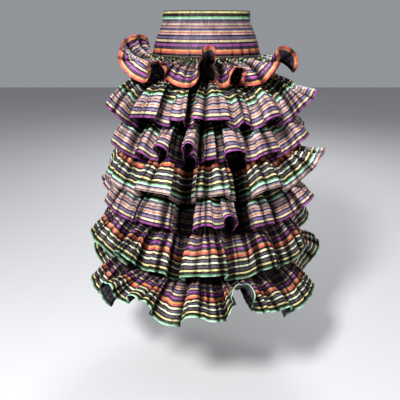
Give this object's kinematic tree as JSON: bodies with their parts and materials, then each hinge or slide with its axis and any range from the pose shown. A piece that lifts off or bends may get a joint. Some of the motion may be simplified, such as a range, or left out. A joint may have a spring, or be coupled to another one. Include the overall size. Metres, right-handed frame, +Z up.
{
  "type": "tiered skirt",
  "caption": "Striped skirt with a plain band, a flared hip yoke and gathered flounces that stand out in uneven folds, each over the one below.",
  "frame": {"origin": "centre of the waist opening at the top edge of the band", "axes": "+Z up the wearer's body, front of the skirt faces -Y, +X is the wearer's left, at the right of a front view"},
  "size_m": [0.7934, 0.7746, 0.8454],
  "materials": {
    "waistband_front": "crisp striped cloth with a soft sheen",
    "waistband_back": "crisp striped cloth with a soft sheen",
    "yoke_front": "crisp striped cloth with a soft sheen",
    "yoke_back": "crisp striped cloth with a soft sheen",
    "underskirt_front": "plain dark cotton",
    "underskirt_back": "plain dark cotton",
    "closure_placket": "crisp striped cloth with a soft sheen",
    "flounce_1_front": "crisp striped cloth with a soft sheen",
    "flounce_1_back": "crisp striped cloth with a soft sheen",
    "flounce_2_front": "crisp striped cloth with a soft sheen",
    "flounce_2_back": "crisp striped cloth with a soft sheen",
    "flounce_3_front": "crisp striped cloth with a soft sheen",
    "flounce_3_back": "crisp striped cloth with a soft sheen",
    "flounce_4_front": "crisp striped cloth with a soft sheen",
    "flounce_4_back": "crisp striped cloth with a soft sheen",
    "flounce_5_front": "crisp striped cloth with a soft sheen",
    "flounce_5_back": "crisp striped cloth with a soft sheen",
    "flounce_6_front": "crisp striped cloth with a soft sheen",
    "flounce_6_back": "crisp striped cloth with a soft sheen",
    "flounce_7_front": "crisp striped cloth with a soft sheen",
    "flounce_7_back": "crisp striped cloth with a soft sheen"
  },
  "bodies": {
    "root": {"waistband_front": "waistband_front", "waistband_back": "waistband_back", "yoke_front": "yoke_front", "yoke_back": "yoke_back", "underskirt_front": "underskirt_front", "underskirt_back": "underskirt_back", "closure_placket": "closure_placket", "flounce_1_front": "flounce_1_front", "flounce_1_back": "flounce_1_back", "flounce_2_front": "flounce_2_front", "flounce_2_back": "flounce_2_back", "flounce_3_front": "flounce_3_front", "flounce_3_back": "flounce_3_back", "flounce_4_front": "flounce_4_front", "flounce_4_back": "flounce_4_back", "flounce_5_front": "flounce_5_front", "flounce_5_back": "flounce_5_back", "flounce_6_front": "flounce_6_front", "flounce_6_back": "flounce_6_back", "flounce_7_front": "flounce_7_front", "flounce_7_back": "flounce_7_back"}
  },
  "joints": []
}
